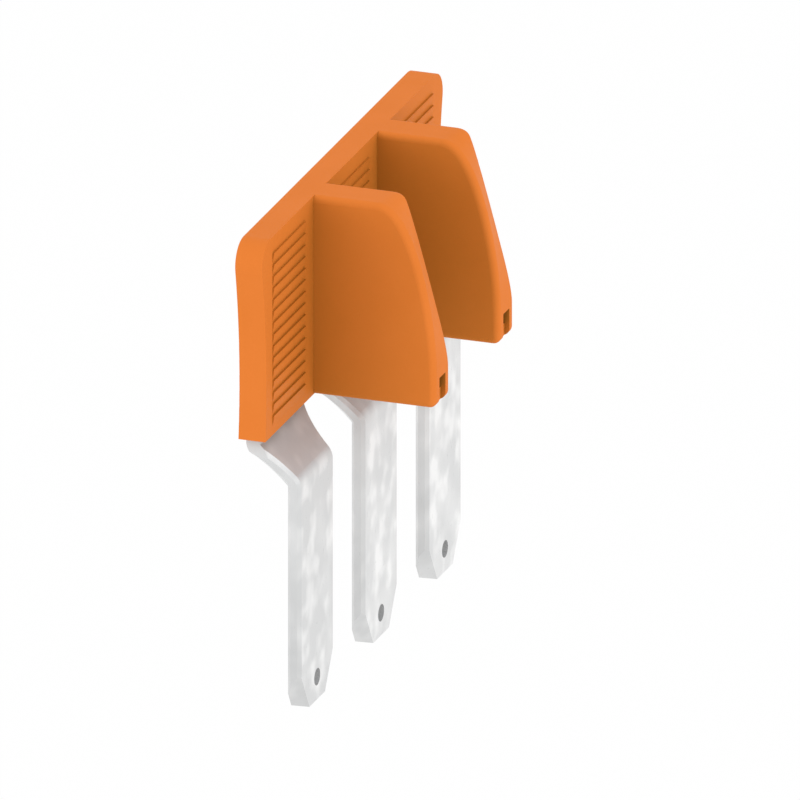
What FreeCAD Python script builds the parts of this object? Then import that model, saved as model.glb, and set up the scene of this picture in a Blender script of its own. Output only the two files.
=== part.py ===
import FreeCAD, Part
import math
import os
import Sketcher

# Insulated plug-in jumper bar for three neighbouring terminal blocks.
# Frame: X runs along the row of blades, the two finger fins point to -Y and +Z is up.
# The origin lies on the middle blade's axis, at mid thickness, level with the moulding's underside.
# The solids are insulating_body, one moulding, and contact_comb, one stamped and bent strip.

# Driving dimensions, in millimetres. Heights count from the moulding's underside.
DRIVING = {
    # Row of blades
    "poles": 3,
    "pitch": 16.0,
    # Strip of the comb
    "strip_thickness": 1.2,
    "strip_setback": 3.3,
    "bar_overhang": 5.0,
    "bar_top": 12.0,
    "bar_corner": 1.0,
    "jog_foot": 4.13,
    "bend_radius": 0.3,
    # Blades
    "blade_width": 8.4,
    "blade_length": 24.56,
    "blade_bevel": 0.3,
    "throat_top": 0.25,
    "tip_slant": 0.4,
    "tip_width": 3.9,
    "tip_taper_height": 3.2,
    "tip_facet_lean": 0.9,
    "hole_diameter": 1.5,
    "hole_above_tip": 2.0,
    # Pocket that takes the comb's bar, and the walls round it
    "pocket_clearance": 0.05,
    "front_wall": 0.72,
    "back_wall": 0.4,
    "end_wall": 0.51,
    # Plate
    "plate_height": 17.63,
    "plate_corner": 2.1,
    "back_rim_round": 0.15,
    "waist_height": 5.0,
    "waist_radius": 50.0,
    # Finger fins: a full side shaped as a quarter ellipse and a bevelled side with a straight slope
    "fin_depth": 10.76,
    "fin_thickness": 3.75,
    "fin_foot_corner": 0.62,
    "fin_upright": 2.7,
    "full_crown_run": 5.23,
    "bevel_crown_run": 4.86,
    "bevel_slope_run": 3.88,
    "bevel_slope_foot": 3.65,
    "fin_edge_round": 0.55,
    # Slot in the outer end of each fin
    "slot_width": 1.5,
    "slot_top": 2.43,
    "slot_depth": 1.2,
    "ledge_top": 1.1,
    "ledge_depth": 0.42,
    # Grip serrations on the front of the plate: wedges that stand proud at their upper ledge
    "serration_length": 8.0,
    "serration_count": 15,
    "serration_step": 1.032,
    "serration_lowest": 1.74,
    "serration_depth": 0.16,
    "serration_fade": 0.93,
}

# Where control points lie along the straight slope of a fin's bevelled side, as shares of it.
SLOPE_SHARES = (0.1, 0.3, 0.57)
# How far a cutting profile reaches past what it cuts.
OVERCUT = 1.0

# Places and sizes that several features share, as expressions on the sheet.
FIRST_BLADE = "-(Sizes.poles - 1) / 2 * Sizes.pitch"
FIRST_GAP = "-(Sizes.poles - 2) / 2 * Sizes.pitch"
OUTER_GAP = "-Sizes.poles / 2 * Sizes.pitch"
GAP_RADIUS = "(Sizes.pitch - Sizes.blade_width) / 2"
THROAT = f"(-Sizes.throat_top - {GAP_RADIUS})"
HALF_STRIP = "Sizes.strip_thickness / 2"
HALF_BAR = "((Sizes.poles - 1) / 2 * Sizes.pitch + Sizes.bar_overhang)"
POCKET_FRONT = f"(Sizes.strip_setback - {HALF_STRIP} - Sizes.pocket_clearance)"
POCKET_BACK = f"(Sizes.strip_setback + {HALF_STRIP} + Sizes.pocket_clearance)"
POCKET_END = f"({HALF_BAR} + Sizes.pocket_clearance)"
PLATE_FRONT = f"({POCKET_FRONT} - Sizes.front_wall)"
PLATE_BACK = f"({POCKET_BACK} + Sizes.back_wall)"
PLATE_WAIST = f"({POCKET_END} + Sizes.end_wall)"
FIN_REACH = f"(Sizes.fin_depth - {PLATE_FRONT})"

doc = FreeCAD.newDocument("jumper_bar")
sheet = doc.addObject("Spreadsheet::Sheet", "Sizes")
for row, (name, value) in enumerate(DRIVING.items(), start=1):
    sheet.set(f"A{row}", name)
    sheet.set(f"B{row}", str(value))
    sheet.setAlias(f"B{row}", name)
doc.recompute()


def size(rule):
    """The present value of a named cell or of an expression on the sheet."""
    return float(sheet.evalExpression(rule.replace("Sizes.", "")))


def is_at(value, target):
    return abs(value - target) < 1e-4


def point(across, up):
    return FreeCAD.Vector(across, up, 0)


def circle(across, up, radius):
    return Part.Circle(point(across, up), FreeCAD.Vector(0, 0, 1), radius)


def origin_item(body, role):
    """One of the body's own origin planes or axes, such as XZ_Plane."""
    return next(item for item in body.Origin.OriginFeatures if item.Role == role)


def new_sketch(body, name, role, offset=None):
    """A sketch on a plane of the body, moved along that plane's normal by an expression."""
    sketch = body.newObject("Sketcher::SketchObject", name)
    sketch.AttachmentSupport = [(origin_item(body, role), "")]
    sketch.MapMode = "FlatFace"
    if offset:
        sketch.setExpression("AttachmentOffset.Base.z", offset)
    return sketch


def hold(sketch, geometry, end, across=None, up=None):
    """Place one point of a sketch at signed distances from its origin, given by expressions."""
    for kind, rule in (("DistanceX", across), ("DistanceY", up)):
        if rule is None:
            continue
        value = size(rule)
        ends = (-1, 1, geometry, end) if value >= 0 else (geometry, end, -1, 1)
        index = sketch.addConstraint(Sketcher.Constraint(kind, *ends, abs(value)))
        sketch.setExpression(f"Constraints[{index}]", rule if value >= 0 else f"-({rule})")


def hold_radius(sketch, geometry, rule):
    index = sketch.addConstraint(Sketcher.Constraint("Radius", geometry, size(rule)))
    sketch.setExpression(f"Constraints[{index}]", rule)


def join(sketch, first, count):
    """Join a run of edges end to end and close it."""
    for index in range(count):
        following = first + (index + 1) % count
        sketch.addConstraint(Sketcher.Constraint("Coincident", first + index, 2, following, 1))


def polygon(sketch, corners):
    """A closed outline of straight edges whose corners are pairs of expressions."""
    points = [point(size(across), size(up)) for across, up in corners]
    for start, end in zip(points, points[1:] + points[:1]):
        sketch.addGeometry(Part.LineSegment(start, end), False)
    join(sketch, 0, len(points))
    for index, (across, up) in enumerate(corners):
        hold(sketch, index, 1, across, up)


def rectangle(sketch, low, high):
    """A closed rectangle between two corners, each a pair of expressions."""
    polygon(sketch, [low, (high[0], low[1]), high, (low[0], high[1])])


def extrude(body, kind, sketch, name, length, side="One side", reverse=False):
    """A pad or pocket whose length is an expression, or a pocket right through where it is None."""
    feature = body.newObject(f"PartDesign::{kind}", name)
    feature.Profile = sketch
    feature.SideType = side
    feature.Reversed = reverse
    if length is None:
        feature.Type = "ThroughAll"
    else:
        feature.setExpression("Length", length)
    doc.recompute()
    return feature


def ruled_loft(body, kind, name, first_face, last_face):
    """A solid ruled straight from one sketch to another, added or cut away."""
    feature = body.newObject(f"PartDesign::{kind}", name)
    feature.Profile = first_face
    feature.Sections = [last_face]
    feature.Ruled = True
    doc.recompute()
    return feature


def repeat_along_row(body, originals, name, copies):
    """Repeat features along the row at the pitch; copies is an expression."""
    pattern = body.newObject("PartDesign::LinearPattern", name)
    pattern.Originals = originals
    pattern.Direction = (origin_item(body, "X_Axis"), [""])
    pattern.setExpression("Length", f"({copies} - 1) * Sizes.pitch")
    pattern.setExpression("Occurrences", copies)
    body.Tip = pattern
    doc.recompute()
    return pattern


def soften(body, kind, base, name, amount, test):
    """Fillet or chamfer the edges whose middle point and direction there pass a test."""
    edges = []
    for index, edge in enumerate(base.Shape.Edges, start=1):
        middle = (edge.FirstParameter + edge.LastParameter) / 2
        if test(edge.valueAt(middle), edge.tangentAt(middle)):
            edges.append(f"Edge{index}")
    feature = body.newObject(f"PartDesign::{kind}", name)
    feature.Base = (base, edges)
    feature.setExpression("Radius" if kind == "Fillet" else "Size", amount)
    body.Tip = feature
    doc.recompute()
    return feature


def stations(first, count):
    """Places along the row, one pitch apart, from the one that an expression gives."""
    return [size(first) + index * size("pitch") for index in range(count)]


def plate_outline(body):
    """Front view of the plate: level foot and top, and ends that are drawn in to a waist."""
    sketch = new_sketch(body, "plate_outline", "XZ_Plane", f"-{PLATE_FRONT}")
    radius = size("waist_radius")
    centre = size(PLATE_WAIST) + radius
    waist = size("waist_height")
    height = size("plate_height")
    low = math.asin(waist / radius)
    high = math.asin((height - waist) / radius)
    foot = centre - radius * math.cos(low)
    top = centre - radius * math.cos(high)
    right_circle = circle(centre, waist, radius)
    left_circle = circle(-centre, waist, radius)
    sketch.addGeometry(Part.LineSegment(point(-foot, 0), point(foot, 0)), False)
    sketch.addGeometry(Part.ArcOfCircle(right_circle, math.pi - high, math.pi + low), False)
    sketch.addGeometry(Part.LineSegment(point(top, height), point(-top, height)), False)
    sketch.addGeometry(Part.ArcOfCircle(left_circle, -low, high), False)
    foot_line, right_end, top_line, left_end = range(4)
    sketch.addConstraint([
        Sketcher.Constraint("Coincident", foot_line, 2, right_end, 2),
        Sketcher.Constraint("Coincident", right_end, 1, top_line, 1),
        Sketcher.Constraint("Coincident", top_line, 2, left_end, 2),
        Sketcher.Constraint("Coincident", left_end, 1, foot_line, 1),
        Sketcher.Constraint("PointOnObject", foot_line, 1, -1),
        Sketcher.Constraint("PointOnObject", foot_line, 2, -1),
        Sketcher.Constraint("Horizontal", top_line),
        Sketcher.Constraint("Equal", right_end, left_end),
        Sketcher.Constraint("Symmetric", right_end, 3, left_end, 3, -2),
    ])
    hold_radius(sketch, right_end, "Sizes.waist_radius")
    hold(sketch, right_end, 3, f"{PLATE_WAIST} + Sizes.waist_radius", "Sizes.waist_height")
    hold(sketch, top_line, 1, None, "Sizes.plate_height")
    return sketch


def full_crown():
    """Control points of a fin's full side: a quarter ellipse from its outer end up to its top."""
    run = size("full_crown_run")
    rise = size("plate_height - fin_upright")
    inner = size(FIN_REACH) - run
    spans = len(SLOPE_SHARES) + 2
    step = math.pi / 2 / spans
    stretch = 1 / math.cos(step / 2)
    points = [(size(FIN_REACH), size("fin_upright"))]
    for index in range(spans):
        angle = (index + 0.5) * step
        out = inner + run * stretch * math.cos(angle)
        points.append((out, size("fin_upright") + rise * stretch * math.sin(angle)))
    points.append((inner, size("plate_height")))
    return points


def bevelled_crown():
    """Control points of a fin's other side: a straight slope with a small turn at each end."""
    reach = size(FIN_REACH)
    height = size("plate_height")
    top = (reach - size("bevel_slope_run"), height)
    foot = (reach, size("bevel_slope_foot"))
    slope = [tuple(a + (b - a) * share for a, b in zip(top, foot)) for share in SLOPE_SHARES]
    start = (reach - size("bevel_crown_run"), height)
    return [(reach, size("fin_upright")), foot, *reversed(slope), top, start]


def fin_outline(body, name, offset, crown):
    """Side view of a fin: root at the plate, level foot and top, and a curved outer edge."""
    sketch = new_sketch(body, name, "YZ_Plane", offset)
    root = size(PLATE_FRONT)
    reach = size(FIN_REACH)
    corner = size("fin_foot_corner")
    height = size("plate_height")
    controls = [point(-out, up) for out, up in crown]
    spans = len(controls) - 2
    curve = Part.BSplineCurve()
    repeats = [3] + [1] * (spans - 1) + [3]
    curve.buildFromPolesMultsKnots(controls, repeats, list(range(spans + 1)), False, 2)
    turn = circle(corner - reach, corner, corner)
    sketch.addGeometry(Part.LineSegment(point(root, height), point(root, 0)), False)
    sketch.addGeometry(Part.LineSegment(point(root, 0), point(corner - reach, 0)), False)
    sketch.addGeometry(Part.ArcOfCircle(turn, math.pi, 1.5 * math.pi), False)
    sketch.addGeometry(Part.LineSegment(point(-reach, corner), controls[0]), False)
    sketch.addGeometry(curve, False)
    sketch.addGeometry(Part.LineSegment(controls[-1], point(root, height)), False)
    root_line, foot_line, foot_turn, end_line, edge, top_line = range(6)
    sketch.addConstraint([
        Sketcher.Constraint("Coincident", root_line, 2, foot_line, 1),
        Sketcher.Constraint("Tangent", foot_line, 2, foot_turn, 2),
        Sketcher.Constraint("Tangent", foot_turn, 1, end_line, 1),
        Sketcher.Constraint("Coincident", end_line, 2, edge, 1),
        Sketcher.Constraint("Coincident", edge, 2, top_line, 1),
        Sketcher.Constraint("Coincident", top_line, 2, root_line, 1),
        Sketcher.Constraint("Vertical", end_line),
        Sketcher.Constraint("PointOnObject", foot_line, 1, -1),
        Sketcher.Constraint("PointOnObject", foot_line, 2, -1),
    ])
    hold_radius(sketch, foot_turn, "Sizes.fin_foot_corner")
    hold(sketch, root_line, 1, PLATE_FRONT, "Sizes.plate_height")
    hold(sketch, root_line, 2, PLATE_FRONT)
    hold(sketch, end_line, 2, f"-{FIN_REACH}", "Sizes.fin_upright")
    hold(sketch, top_line, 1, None, "Sizes.plate_height")
    return sketch


def add_plate(body):
    """The upright plate, with its top corners and the rim of its back rounded."""
    outline = plate_outline(body)
    plate = extrude(body, "Pad", outline, "plate", f"{PLATE_BACK} - {PLATE_FRONT}", reverse=True)
    height = size("plate_height")
    back = size(PLATE_BACK)

    def at_top_corner(at, way):
        return is_at(abs(way.y), 1) and is_at(at.z, height)

    def on_back_rim(at, way):
        return is_at(at.y, back) and not is_at(at.z, 0)

    plate = soften(body, "Fillet", plate, "plate_corners", "Sizes.plate_corner", at_top_corner)
    return soften(body, "Fillet", plate, "back_rim", "Sizes.back_rim_round", on_back_rim)


def add_fins(body):
    """The finger fins, ruled from the full side to the bevelled side, with rounded rims."""
    half = "Sizes.fin_thickness / 2"
    full_side = fin_outline(body, "fin_full_side", f"{FIRST_GAP} - {half}", full_crown())
    bevelled_side = fin_outline(body, "fin_bevelled_side", f"{FIRST_GAP} + {half}", bevelled_crown())
    fin = ruled_loft(body, "AdditiveLoft", "fin", full_side, bevelled_side)
    fins = repeat_along_row(body, [fin], "fins", "(Sizes.poles - 1)")
    centres = stations(FIRST_GAP, int(size("poles")) - 1)
    sides = [centre + sign * size(half) for centre in centres for sign in (-1, 1)]
    front = size(PLATE_FRONT)

    def on_fin_rim(at, way):
        on_side = any(is_at(at.x, side) for side in sides) and is_at(way.x, 0)
        return on_side and at.y < front and not is_at(at.y, front) and not is_at(at.z, 0)

    return soften(body, "Fillet", fins, "fin_rims", "Sizes.fin_edge_round", on_fin_rim)


def cut_slots(body):
    """The stepped slot in each fin's outer end, open at the foot."""
    left = f"{FIRST_GAP} - Sizes.slot_width / 2"
    right = f"{FIRST_GAP} + Sizes.slot_width / 2"
    upper = new_sketch(body, "slot_outline", "XZ_Plane", FIN_REACH)
    rectangle(upper, (left, "Sizes.ledge_top"), (right, "Sizes.slot_top"))
    lower = new_sketch(body, "slot_ledge_outline", "XZ_Plane", FIN_REACH)
    rectangle(lower, (left, "0"), (right, "Sizes.ledge_top"))
    slot = extrude(body, "Pocket", upper, "slot", "Sizes.slot_depth")
    ledge = extrude(body, "Pocket", lower, "slot_ledge", "Sizes.ledge_depth")
    return repeat_along_row(body, [slot, ledge], "slots", "(Sizes.poles - 1)")


def add_serrations(body):
    """Panels of grip serrations: each stands proud at its upper ledge and fades out below."""
    outline = new_sketch(body, "serration_outline", "YZ_Plane", FIRST_BLADE)
    ledge = "Sizes.serration_lowest"
    foot = "Sizes.serration_lowest - Sizes.serration_fade"
    proud = f"{PLATE_FRONT} - Sizes.serration_depth"
    polygon(outline, [(proud, ledge), (PLATE_FRONT, ledge), (PLATE_FRONT, foot)])
    serration = extrude(body, "Pad", outline, "serration", "Sizes.serration_length", side="Symmetric")
    pattern = body.newObject("PartDesign::LinearPattern", "serrations")
    pattern.Originals = [serration]
    pattern.Direction = (origin_item(body, "Z_Axis"), [""])
    pattern.setExpression("Length", "(Sizes.serration_count - 1) * Sizes.serration_step")
    pattern.setExpression("Occurrences", "Sizes.serration_count")
    pattern.Direction2 = (origin_item(body, "X_Axis"), [""])
    pattern.setExpression("Length2", "(Sizes.poles - 1) * Sizes.pitch")
    pattern.setExpression("Occurrences2", "Sizes.poles")
    body.Tip = pattern
    doc.recompute()
    return pattern


def cut_comb_pocket(body):
    """The pocket from the underside; the top of the comb's bar seats on its roof."""
    outline = new_sketch(body, "comb_pocket_outline", "XY_Plane")
    rectangle(outline, (f"-{POCKET_END}", POCKET_FRONT), (POCKET_END, POCKET_BACK))
    return extrude(body, "Pocket", outline, "comb_pocket", "Sizes.bar_top", reverse=True)


def make_insulating_body():
    """The moulding: waisted plate, two finger fins, grip serrations and the comb's pocket."""
    body = doc.addObject("PartDesign::Body", "insulating_body")
    add_plate(body)
    add_fins(body)
    add_serrations(body)
    cut_slots(body)
    cut_comb_pocket(body)
    return body


def add_strip(body):
    """The strip across the whole row, joggled forward between the bar and the blades."""
    front_shift = f"({HALF_STRIP} * sqrt(2) - Sizes.jog_foot)"
    back_shift = f"(-{HALF_STRIP} * sqrt(2) - Sizes.jog_foot)"
    bar_front = f"Sizes.strip_setback - {HALF_STRIP}"
    bar_back = f"Sizes.strip_setback + {HALF_STRIP}"
    outline = new_sketch(body, "strip_side_view", "YZ_Plane")
    polygon(outline, [
        (bar_front, "Sizes.bar_top"),
        (bar_front, f"{bar_front} + {front_shift}"),
        (f"-{HALF_STRIP}", f"-{HALF_STRIP} + {front_shift}"),
        (f"-{HALF_STRIP}", "-Sizes.blade_length"),
        (HALF_STRIP, "-Sizes.blade_length + Sizes.tip_slant"),
        (HALF_STRIP, f"{HALF_STRIP} + {back_shift}"),
        (bar_back, f"{bar_back} + {back_shift}"),
        (bar_back, "Sizes.bar_top"),
    ])
    strip = extrude(body, "Pad", outline, "strip", f"2 * {HALF_BAR}", side="Symmetric")
    middle = size("strip_setback") / 2

    def at_bend(inner):
        def test(at, way):
            in_front = is_at(at.z - at.y, size(front_shift))
            behind = is_at(at.z - at.y, size(back_shift))
            upper = at.y > middle
            return is_at(abs(way.x), 1) and (in_front or behind) and (in_front == upper) == inner
        return test

    inner_bends = soften(body, "Fillet", strip, "inner_bends", "Sizes.bend_radius", at_bend(True))
    outer_radius = "Sizes.bend_radius + Sizes.strip_thickness"
    return soften(body, "Fillet", inner_bends, "outer_bends", outer_radius, at_bend(False))


def cut_gaps(body):
    """The round-topped gaps that leave the blades and their flared necks."""
    sketch = new_sketch(body, "gap_outline", "XZ_Plane")
    radius = size(GAP_RADIUS)
    centre = size(OUTER_GAP)
    throat = size(THROAT)
    low = -size("blade_length") - OVERCUT
    left, right = centre - radius, centre + radius
    sketch.addGeometry(Part.ArcOfCircle(circle(centre, throat, radius), 0, math.pi), False)
    sketch.addGeometry(Part.LineSegment(point(left, throat), point(left, low)), False)
    sketch.addGeometry(Part.LineSegment(point(left, low), point(right, low)), False)
    sketch.addGeometry(Part.LineSegment(point(right, low), point(right, throat)), False)
    crown, left_side, base, right_side = range(4)
    sketch.addConstraint([
        Sketcher.Constraint("Tangent", crown, 2, left_side, 1),
        Sketcher.Constraint("Coincident", left_side, 2, base, 1),
        Sketcher.Constraint("Coincident", base, 2, right_side, 1),
        Sketcher.Constraint("Tangent", right_side, 2, crown, 1),
        Sketcher.Constraint("Vertical", left_side),
        Sketcher.Constraint("Vertical", right_side),
        Sketcher.Constraint("Horizontal", base),
    ])
    hold_radius(sketch, crown, GAP_RADIUS)
    hold(sketch, crown, 3, OUTER_GAP, THROAT)
    hold(sketch, base, 1, None, f"-Sizes.blade_length - {OVERCUT}")
    gap = extrude(body, "Pocket", sketch, "gap", None, side="Symmetric")
    gaps = repeat_along_row(body, [gap], "gaps", "(Sizes.poles + 1)")

    def at_bar_corner(at, way):
        return is_at(abs(way.y), 1) and is_at(at.z, size("bar_top"))

    return soften(body, "Fillet", gaps, "bar_corners", "Sizes.bar_corner", at_bar_corner)


def tip_facet(body, name, sign):
    """The slanted lead-in facet on one flank of the first blade's tip."""
    tip_half = "Sizes.tip_width / 2"
    flank = "Sizes.blade_width / 2"
    run = f"(({flank} - Sizes.blade_bevel - {tip_half}) / Sizes.tip_taper_height)"
    width = f"({flank} + {OVERCUT} - {tip_half})"
    faces = []
    ends = (("front", HALF_STRIP, "0"), ("back", f"-{HALF_STRIP}", "Sizes.tip_facet_lean"))
    for face, offset, lean in ends:
        sketch = new_sketch(body, f"{name}_{face}", "XZ_Plane", offset)
        inner = f"{FIRST_BLADE} + {sign} * ({tip_half} + {lean} - {OVERCUT} * {run})"
        outer = f"{FIRST_BLADE} + {sign} * ({tip_half} + {lean} + {width})"
        low = f"-Sizes.blade_length - {OVERCUT}"
        polygon(sketch, [(inner, low), (outer, low), (outer, f"-Sizes.blade_length + {width} / {run}")])
        faces.append(sketch)
    return ruled_loft(body, "SubtractiveLoft", name, *faces)


def finish_tips(body):
    """The lead-in facets and the round hole of every blade."""
    facets = [tip_facet(body, "tip_facet_left", -1), tip_facet(body, "tip_facet_right", 1)]
    sketch = new_sketch(body, "hole_outline", "XZ_Plane")
    height = "Sizes.hole_above_tip - Sizes.blade_length"
    sketch.addGeometry(circle(size(FIRST_BLADE), size(height), size("hole_diameter / 2")), False)
    hold_radius(sketch, 0, "Sizes.hole_diameter / 2")
    hold(sketch, 0, 3, FIRST_BLADE, height)
    hole = extrude(body, "Pocket", sketch, "hole", None, side="Symmetric")
    return repeat_along_row(body, [*facets, hole], "tips", "Sizes.poles")


def bevel_blades(body, tips):
    """The bevel along the front and back edges of every blade, which runs on up its flared neck."""
    centres = stations(FIRST_BLADE, int(size("poles")))
    flanks = [centre + sign * size("blade_width / 2") for centre in centres for sign in (-1, 1)]
    throat = size(THROAT)
    near_middle = size(HALF_STRIP) / 2

    def on_blade_edge(at, way):
        on_flank = any(is_at(at.x, flank) for flank in flanks) and at.z < throat
        return on_flank and abs(at.y) > near_middle and not is_at(abs(way.y), 1)

    return soften(body, "Chamfer", tips, "blade_bevels", "Sizes.blade_bevel", on_blade_edge)


def make_contact_comb():
    """The comb: one strip, joggled, cut into blades and bevelled, with drilled tips."""
    body = doc.addObject("PartDesign::Body", "contact_comb")
    add_strip(body)
    cut_gaps(body)
    bevel_blades(body, finish_tips(body))
    return body


pieces = [make_insulating_body(), make_contact_comb()]
doc.recompute()
for item in doc.Objects:
    if "Invalid" in item.State or "Error" in item.State:
        raise RuntimeError(f"{item.Name} failed: {item.State}")
for piece in pieces:
    if piece.Shape.isNull() or not piece.Shape.isValid() or len(piece.Shape.Solids) != 1:
        raise RuntimeError(f"{piece.Name} is not one valid solid")

os.makedirs("parts", exist_ok=True)
for piece in pieces:
    piece.Label = piece.Name
    piece.Shape.exportStep(f"parts/{piece.Label}.step")
    print(piece.Label, round(piece.Shape.Volume, 2), "mm3")
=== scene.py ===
"""Looks of a plug-in jumper bar: a moulded grip plate with finger fins on a tinned contact comb."""

import bpy
from mathutils import Matrix, Vector


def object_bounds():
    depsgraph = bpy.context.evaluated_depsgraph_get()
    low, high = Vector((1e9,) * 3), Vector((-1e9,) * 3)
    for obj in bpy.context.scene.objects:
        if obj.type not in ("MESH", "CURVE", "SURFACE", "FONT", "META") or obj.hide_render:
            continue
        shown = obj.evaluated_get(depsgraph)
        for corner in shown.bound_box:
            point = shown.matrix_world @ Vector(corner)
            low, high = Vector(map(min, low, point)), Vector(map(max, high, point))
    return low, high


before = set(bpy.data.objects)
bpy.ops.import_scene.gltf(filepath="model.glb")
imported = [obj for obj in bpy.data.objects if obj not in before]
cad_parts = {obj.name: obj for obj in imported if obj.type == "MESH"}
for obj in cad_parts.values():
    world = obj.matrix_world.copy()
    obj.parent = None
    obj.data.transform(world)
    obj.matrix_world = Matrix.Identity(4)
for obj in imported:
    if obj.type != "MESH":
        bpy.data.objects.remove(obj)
cad_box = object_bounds()

MM = 0.001
SIDEWAYS = (1.0, 0.0, 0.0)
UPWARD = (0.0, 0.0, 1.0)

# Camera: a straight-on parallel view, from the left, in front and above.
VIEW_RIGHT = Vector((0.33219, -0.94322, 0.0))
VIEW_BACK = Vector((-0.88278, -0.31090, 0.35218))
VIEW_CENTRE = Vector((-0.4475, -2.4254, -3.2627)) * MM
VIEW_WIDTH = 66.556 * MM
VIEW_DISTANCE = 400 * MM
VIEW_NEAREST = 10 * MM
VIEW_FARTHEST = 10000 * MM

# Studio: pale floor well below the blades' tips, an even white surround and soft lamps.
FLOOR_DROP = 80 * MM
FLOOR_HALF_SIDE = 3.0
FLOOR_COLOUR = (0.92, 0.92, 0.92, 1.0)
FLOOR_SEEN_AS_WHITE = 0.97
SURROUND_LIGHT = 0.93
WHITE = (1.0, 1.0, 1.0, 1.0)

# Lamps: how far each stands from the bar's middle, in metres, and its power in watts.
LAMP_SIDE = 0.6
LAMPS = {
    "left_lamp": ((-0.78, 0.62, 0.06), 1.8),
    "front_lamp": ((-0.20, -0.80, 0.42), 1.4),
}

# How far off a surface the openness that paints shade is felt: over whole creases, and inside
# narrow slots.
CREASE_SHADE_REACH = 30.0 * MM
SLOT_SHADE_REACH = 3.0 * MM
OPENNESS_SAMPLES = 24

# Orange moulding: colours, with the painted shade of creases and slots, then patterns per
# millimetre with their shares, ranges and depths.
ORANGE_LIGHT = (0.79, 0.215, 0.038, 1.0)
ORANGE_DEEP = (0.765, 0.206, 0.034, 1.0)
ORANGE_PAINTED_CREASE_SHADE = (0.28, 0.145, 0.014, 1.0)
ORANGE_PAINTED_SLOT_SHADE = (0.10, 0.045, 0.006, 1.0)
DRIFT_PER_MM = 0.22
DRIFT_RANGE = (0.3, 0.7)
DRIFT_SHARE = 0.75
SPECKLE_PER_MM = 5.0
SPECKLE_RANGE = (0.35, 0.65)
SPECKLE_SHARE = 0.25
SLOT_SHADE_RANGE = (0.0, 0.48)
GRAIN_PER_MM = 9.0
GRAIN_DEPTH = 0.004 * MM
GRAIN_STRENGTH = 0.35
WAVE_PER_MM = 0.35
WAVE_DEPTH = 0.05 * MM
WAVE_STRENGTH = 0.5
ORANGE_ROUGHNESS = 0.44
ORANGE_ROUGHNESS_RISE = 0.10
ORANGE_IOR = 1.46
ORANGE_SHEEN = 0.03

# Tin plating: colours of its flat faces, of its sheared edges painted darker low and lighter high,
# and the painted shade on upward faces beneath the moulding and in creases.
TIN_BRIGHT = (0.90, 0.90, 0.895, 1.0)
TIN_DULL = (0.65, 0.655, 0.655, 1.0)
TIN_SHEARED_SHADED_LOW = (0.53, 0.535, 0.535, 1.0)
TIN_SHEARED_LIT_HIGH = (0.67, 0.675, 0.675, 1.0)
TIN_PAINTED_SHADE_UNDER_MOULDING = (0.47, 0.49, 0.515, 1.0)
TIN_PAINTED_CREASE_SHADE = (0.29, 0.29, 0.29, 1.0)
# Its soft mottle and clouds, and a painted shading from one end of the row to the other, lighter
# towards +X.
MOTTLE_STRETCH = (1.0, 1.0, 0.75)
MOTTLE_PER_MM = 0.62
MOTTLE_RANGE = (0.40, 0.80)
MOTTLE_SHARE = 0.8
MOTTLE_DEPTH = 0.02 * MM
MOTTLE_STRENGTH = 0.3
CLOUDS_PER_MM = 0.25
CLOUDS_RANGE = (0.32, 0.68)
CLOUDS_SHARE = 0.35
ROW_SHADING_RANGE = (-18.0, -2.0)
ROW_SHADING_SHARE = 0.25
FLAT_TONE_SHIFT = 0.16
# Painted light: the sheared edges are painted lighter with height; the ranges below count squarely
# facing as 1.
HEIGHT_LIGHT_RANGE = (-21.0, -7.0)
HEIGHT_LIGHT_SHARE = 0.8
EDGE_CLOUDS_RANGE = (0.3, 0.7)
EDGE_CLOUDS_SHARE = 0.2
SHEARED_RANGE = (0.45, 0.9)
SHEARED_SHARE = 0.7
# Painted shade on upward faces beneath the moulding.
UNDER_MOULDING_SHADE_RANGE = (0.2, 0.75)
UNDER_MOULDING_SHADE_SHARE = 0.48
# Fine lines along the strip's height, which vary its gloss.
LINES_STRETCH = (1.0, 1.0, 0.1)
LINES_PER_MM = 14.0
TIN_ROUGHNESS = 0.24
TIN_ROUGHNESS_RISE = 0.12
TIN_METALLIC = 0.15
TIN_SHEEN = 0.2


class Signal:
    """One output of a node; arithmetic on it adds the Math nodes."""

    def __init__(self, finish, socket):
        self.finish = finish
        self.socket = socket

    def combine(self, operation, first, second):
        return self.finish.node("ShaderNodeMath", {"operation": operation}, {0: first, 1: second})

    def __add__(self, other):
        return self.combine("ADD", self, other)

    def __radd__(self, other):
        return self.combine("ADD", other, self)

    def __sub__(self, other):
        return self.combine("SUBTRACT", self, other)

    def __rsub__(self, other):
        return self.combine("SUBTRACT", other, self)

    def __mul__(self, other):
        return self.combine("MULTIPLY", self, other)

    def __rmul__(self, other):
        return self.combine("MULTIPLY", other, self)


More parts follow.
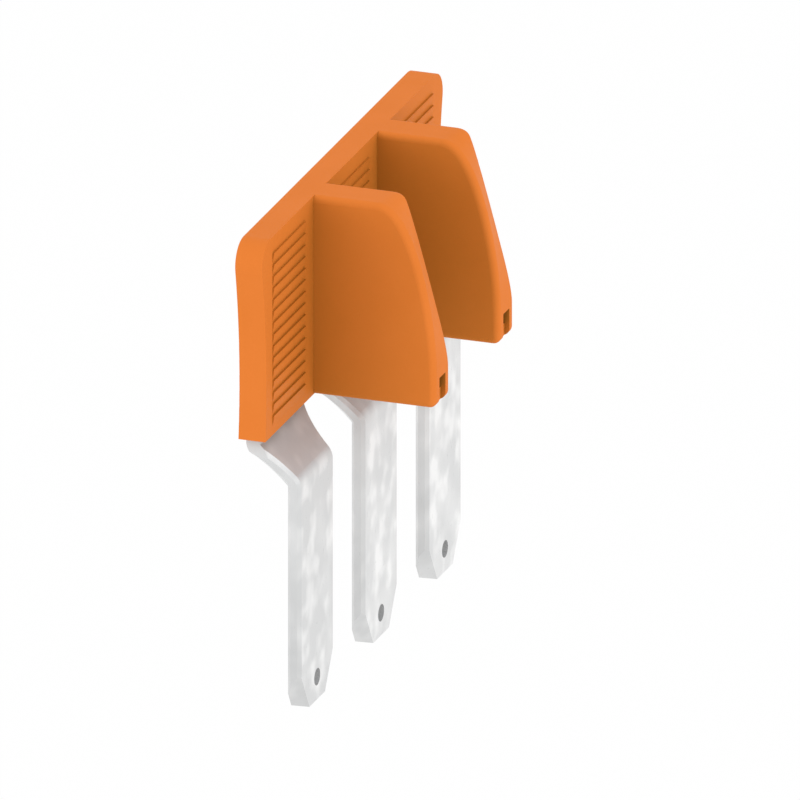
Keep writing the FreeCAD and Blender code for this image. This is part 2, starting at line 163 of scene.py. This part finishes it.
class Finish:
    """A node tree that is built up node by node, of a material or of the world."""

    def __init__(self, owner):
        owner.use_nodes = True
        self.tree = owner.node_tree
        self.tree.nodes.clear()

    def node(self, kind, settings=None, inputs=None, output=0):
        """Add a node, set it up first, then feed its sockets with numbers, colours or signals."""
        made = self.tree.nodes.new(kind)
        for name, value in (settings or {}).items():
            setattr(made, name, value)
        for key, value in (inputs or {}).items():
            if isinstance(value, Signal):
                self.tree.links.new(value.socket, made.inputs[key])
            else:
                made.inputs[key].default_value = value
        return Signal(self, made.outputs[output])

    def output(self, kind, surface):
        """End the tree in an output node."""
        self.tree.links.new(surface.socket, self.tree.nodes.new(kind).inputs["Surface"])

    def millimetres(self, scale=(1.0, 1.0, 1.0)):
        """The object's own coordinates in millimetres, scaled along X, Y and Z."""
        place = self.node("ShaderNodeTexCoord", output="Object")
        factors = tuple(factor / MM for factor in scale)
        return self.node("ShaderNodeVectorMath", {"operation": "MULTIPLY"}, {0: place, 1: factors})

    def noise(self, place, per_mm, detail=2.0, roughness=0.5):
        """Soft random cloudiness, with about so many blots to a millimetre."""
        return self.node("ShaderNodeTexNoise", {}, {
            "Vector": place, "Scale": per_mm, "Detail": detail, "Roughness": roughness})

    def spread(self, signal, low, high):
        """Stretch the part of a signal between low and high over 0 to 1, with soft ends."""
        return self.node("ShaderNodeMapRange", {"interpolation_type": "SMOOTHSTEP"}, {
            "Value": signal, "From Min": low, "From Max": high})

    def openness(self, reach):
        """How open a place is to the air around it: 1 on a free face, less in a crease; it sets
        where shade is painted.
        """
        settings = {"samples": OPENNESS_SAMPLES}
        return self.node("ShaderNodeAmbientOcclusion", settings, {"Distance": reach}, output="AO")

    def along(self, vector, axis):
        """The length of a vector along one of the object's axes."""
        settings = {"operation": "DOT_PRODUCT"}
        return self.node("ShaderNodeVectorMath", settings, {0: vector, 1: axis}, output="Value")

    def leaning(self, axis):
        """How far a face looks along one of the object's axes: 1 squarely, -1 the other way."""
        return self.along(self.node("ShaderNodeNewGeometry", output="Normal"), axis)

    def facing(self, axis):
        """How squarely a face looks along one of the object's axes, either way."""
        return self.node("ShaderNodeMath", {"operation": "ABSOLUTE"}, {0: self.leaning(axis)})

    def blend(self, share, first, second):
        """A colour between two others."""
        settings = {"data_type": "RGBA"}
        inputs = {"Factor": share, 6: first, 7: second}
        return self.node("ShaderNodeMix", settings, inputs, output=2)

    def relief(self, height, strength, depth, below=None):
        """A bumpy normal from a height signal, on top of another one if given."""
        inputs = {"Strength": strength, "Distance": depth, "Height": height}
        if below:
            inputs["Normal"] = below
        return self.node("ShaderNodeBump", {}, inputs)


def moulded_plastic():
    """Satin orange moulding: fine grain, slight colour drift, faint waviness, painted shade in
    creases and slots.
    """
    material = bpy.data.materials.new("orange_moulding")
    finish = Finish(material)
    place = finish.millimetres()
    drift = finish.noise(place, DRIFT_PER_MM, detail=3.0)
    speckle = finish.noise(place, SPECKLE_PER_MM)
    tone = (finish.spread(drift, *DRIFT_RANGE) * DRIFT_SHARE
            + finish.spread(speckle, *SPECKLE_RANGE) * SPECKLE_SHARE)
    free = finish.blend(tone, ORANGE_DEEP, ORANGE_LIGHT)
    # Painted shade: the orange is darkened in creases, by how open each place is.
    crease_shaded = finish.blend(finish.openness(CREASE_SHADE_REACH), ORANGE_PAINTED_CREASE_SHADE, free)
    # Painted shade: narrow slots are painted a near-black orange.
    free_of_slot_shade = finish.spread(finish.openness(SLOT_SHADE_REACH), *SLOT_SHADE_RANGE)
    colour = finish.blend(free_of_slot_shade, ORANGE_PAINTED_SLOT_SHADE, crease_shaded)
    grain = finish.noise(place, GRAIN_PER_MM, detail=3.0, roughness=0.6)
    wave = finish.noise(place, WAVE_PER_MM, detail=1.0)
    fine = finish.relief(grain, GRAIN_STRENGTH, GRAIN_DEPTH)
    shader = finish.node("ShaderNodeBsdfPrincipled", {}, {
        "Base Color": colour,
        "Roughness": ORANGE_ROUGHNESS + ORANGE_ROUGHNESS_RISE * grain,
        "Normal": finish.relief(wave, WAVE_STRENGTH, WAVE_DEPTH, below=fine),
        "IOR": ORANGE_IOR,
        "Specular IOR Level": ORANGE_SHEEN})
    finish.output("ShaderNodeOutputMaterial", shader)
    return material


def tinned_metal():
    """Bright tin plating: soft mottle, duller sheared edges painted lighter with height, painted
    shading along the comb, painted shade on upward faces beneath the moulding and in creases.
    """
    material = bpy.data.materials.new("tin_plating")
    finish = Finish(material)
    place = finish.millimetres()
    mottle = finish.noise(
        finish.millimetres(MOTTLE_STRETCH), MOTTLE_PER_MM, detail=1.0, roughness=0.35)
    clouds = finish.noise(place, CLOUDS_PER_MM)
    mottled = (finish.spread(mottle, *MOTTLE_RANGE) * MOTTLE_SHARE
               + finish.spread(clouds, *CLOUDS_RANGE) * CLOUDS_SHARE)
    # Painted shading: the flat faces are painted lighter along the row towards +X.
    row = finish.spread(finish.along(place, SIDEWAYS), *ROW_SHADING_RANGE)
    flat = finish.blend(mottled + row * ROW_SHADING_SHARE - FLAT_TONE_SHIFT, TIN_DULL, TIN_BRIGHT)
    # Painted light: the sheared edges are painted lighter with height.
    height = finish.spread(finish.along(place, UPWARD), *HEIGHT_LIGHT_RANGE)
    edge_clouds_and_painted_light = (height * HEIGHT_LIGHT_SHARE
                 + finish.spread(clouds, *EDGE_CLOUDS_RANGE) * EDGE_CLOUDS_SHARE)
    edge = finish.blend(edge_clouds_and_painted_light, TIN_SHEARED_SHADED_LOW, TIN_SHEARED_LIT_HIGH)
    sheared = finish.spread(finish.facing(SIDEWAYS), *SHEARED_RANGE) * SHEARED_SHARE
    outer = finish.blend(sheared, flat, edge)
    # Painted shade: upward faces beneath the moulding are painted darker and bluish.
    upward_painted_shade = finish.spread(finish.leaning(UPWARD), *UNDER_MOULDING_SHADE_RANGE) * UNDER_MOULDING_SHADE_SHARE
    free = finish.blend(upward_painted_shade, outer, TIN_PAINTED_SHADE_UNDER_MOULDING)
    # Painted shade: the plating is darkened in creases, by how open each place is.
    colour = finish.blend(finish.openness(CREASE_SHADE_REACH), TIN_PAINTED_CREASE_SHADE, free)
    lines = finish.noise(finish.millimetres(LINES_STRETCH), LINES_PER_MM)
    shader = finish.node("ShaderNodeBsdfPrincipled", {}, {
        "Base Color": colour,
        "Metallic": TIN_METALLIC,
        "Roughness": TIN_ROUGHNESS + TIN_ROUGHNESS_RISE * lines,
        "Normal": finish.relief(mottle, MOTTLE_STRENGTH, MOTTLE_DEPTH),
        "Specular IOR Level": TIN_SHEEN})
    finish.output("ShaderNodeOutputMaterial", shader)
    return material


def dress(node, material):
    """Give a CAD node its finish."""
    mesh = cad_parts[node].data
    mesh.materials.clear()
    mesh.materials.append(material)


def white_to_the_eye(finish):
    """1 for camera, mirror and see-through rays, which meet plain white."""
    camera = finish.node("ShaderNodeLightPath", output="Is Camera Ray")
    glossy = finish.node("ShaderNodeLightPath", output="Is Glossy Ray")
    through = finish.node("ShaderNodeLightPath", output="Is Transmission Ray")
    return camera + glossy + through


def lay_floor():
    """A large pale floor below the bar; the eye meets it as white, with the bar's soft shadow."""
    low = cad_box[0].z - FLOOR_DROP
    side = FLOOR_HALF_SIDE
    corners = [(-side, -side, low), (side, -side, low), (side, side, low), (-side, side, low)]
    mesh = bpy.data.meshes.new("studio_floor")
    mesh.from_pydata(corners, [], [(0, 1, 2, 3)])
    floor = bpy.data.objects.new("studio_floor", mesh)
    bpy.context.scene.collection.objects.link(floor)
    material = bpy.data.materials.new("studio_floor")
    finish = Finish(material)
    matte = finish.node("ShaderNodeBsdfDiffuse", {}, {"Color": FLOOR_COLOUR})
    plain_white = finish.node("ShaderNodeEmission", {}, {"Color": WHITE, "Strength": 1.0})
    share = white_to_the_eye(finish) * FLOOR_SEEN_AS_WHITE
    mix = finish.node("ShaderNodeMixShader", {}, {0: share, 1: matte, 2: plain_white})
    finish.output("ShaderNodeOutputMaterial", mix)
    mesh.materials.append(material)


def light_surround():
    """An even white surround, plain white where the eye meets it."""
    world = bpy.data.worlds.new("white_surround")
    bpy.context.scene.world = world
    finish = Finish(world)
    seen = white_to_the_eye(finish)
    strength = seen * (1.0 - SURROUND_LIGHT) + SURROUND_LIGHT
    shader = finish.node("ShaderNodeBackground", {}, {"Color": WHITE, "Strength": strength})
    finish.output("ShaderNodeOutputWorld", shader)


def soft_lamp(name, place, power):
    """A square area lamp aimed at the bar's middle."""
    light = bpy.data.lights.new(name, "AREA")
    light.shape = "SQUARE"
    light.size = LAMP_SIDE
    light.energy = power
    lamp = bpy.data.objects.new(name, light)
    bpy.context.scene.collection.objects.link(lamp)
    middle = (cad_box[0] + cad_box[1]) / 2
    lamp.location = middle + Vector(place)
    lamp.rotation_mode = "QUATERNION"
    lamp.rotation_quaternion = Vector(place).to_track_quat("Z", "Y")


def place_camera():
    """A parallel view of the whole bar."""
    data = bpy.data.cameras.new("view")
    data.type = "ORTHO"
    data.ortho_scale = VIEW_WIDTH
    data.clip_start = VIEW_NEAREST
    data.clip_end = VIEW_FARTHEST
    camera = bpy.data.objects.new("view", data)
    bpy.context.scene.collection.objects.link(camera)
    up = VIEW_BACK.cross(VIEW_RIGHT)
    turn = Matrix((VIEW_RIGHT, up, VIEW_BACK)).transposed().to_4x4()
    camera.matrix_world = Matrix.Translation(VIEW_CENTRE + VIEW_BACK * VIEW_DISTANCE) @ turn
    bpy.context.scene.camera = camera


dress("insulating_body", moulded_plastic())
dress("contact_comb", tinned_metal())
lay_floor()
light_surround()
for lamp_name, (lamp_place, lamp_power) in LAMPS.items():
    soft_lamp(lamp_name, lamp_place, lamp_power)
place_camera()
bpy.context.scene.view_settings.view_transform = "Standard"
